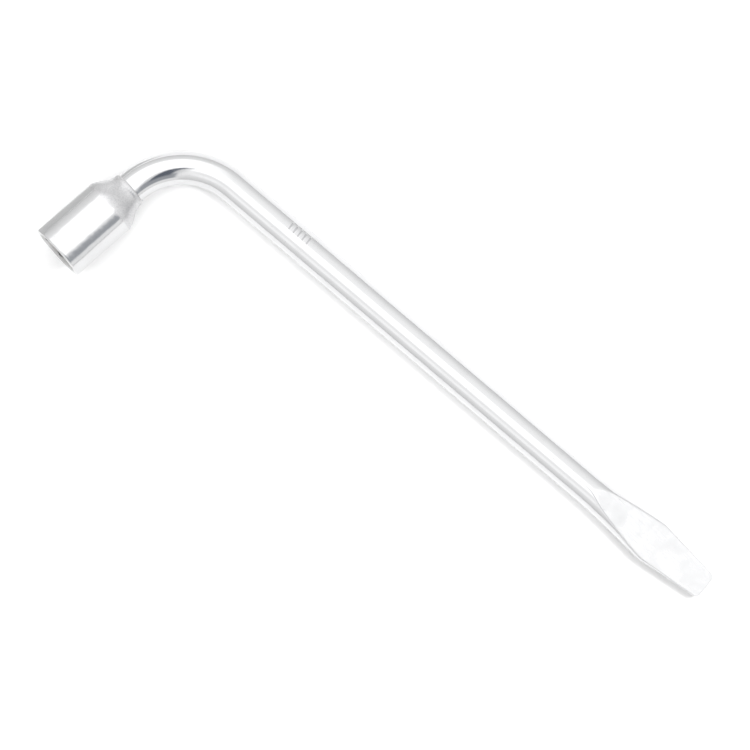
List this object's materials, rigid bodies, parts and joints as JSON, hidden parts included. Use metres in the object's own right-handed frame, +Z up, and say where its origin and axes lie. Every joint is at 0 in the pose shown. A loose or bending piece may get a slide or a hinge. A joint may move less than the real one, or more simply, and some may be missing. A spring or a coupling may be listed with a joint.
{
  "type": "lug wrench",
  "caption": "L-shaped lug wrench: a bent round steel bar with a hexagonal wheel-nut socket welded on its short arm and a flattened pry blade at the far end.",
  "frame": {"origin": "middle of the wrench's box, on the bench that it lies on", "axes": "+X along the straight bar towards the pry blade, +Z up from the bench, the short arm and the socket towards -Y"},
  "size_m": [0.3464, 0.09, 0.0317],
  "materials": {
    "plated_bar": "bright chrome plate over drawn steel bar",
    "plated_socket": "chrome plate over turned steel, satin on the shoulder",
    "plated_weld": "chrome plate over weld, satin"
  },
  "bodies": {
    "root": {"handle_bar": "plated_bar", "wheel_nut_socket": "plated_socket", "weld_bead": "plated_weld"}
  },
  "joints": []
}
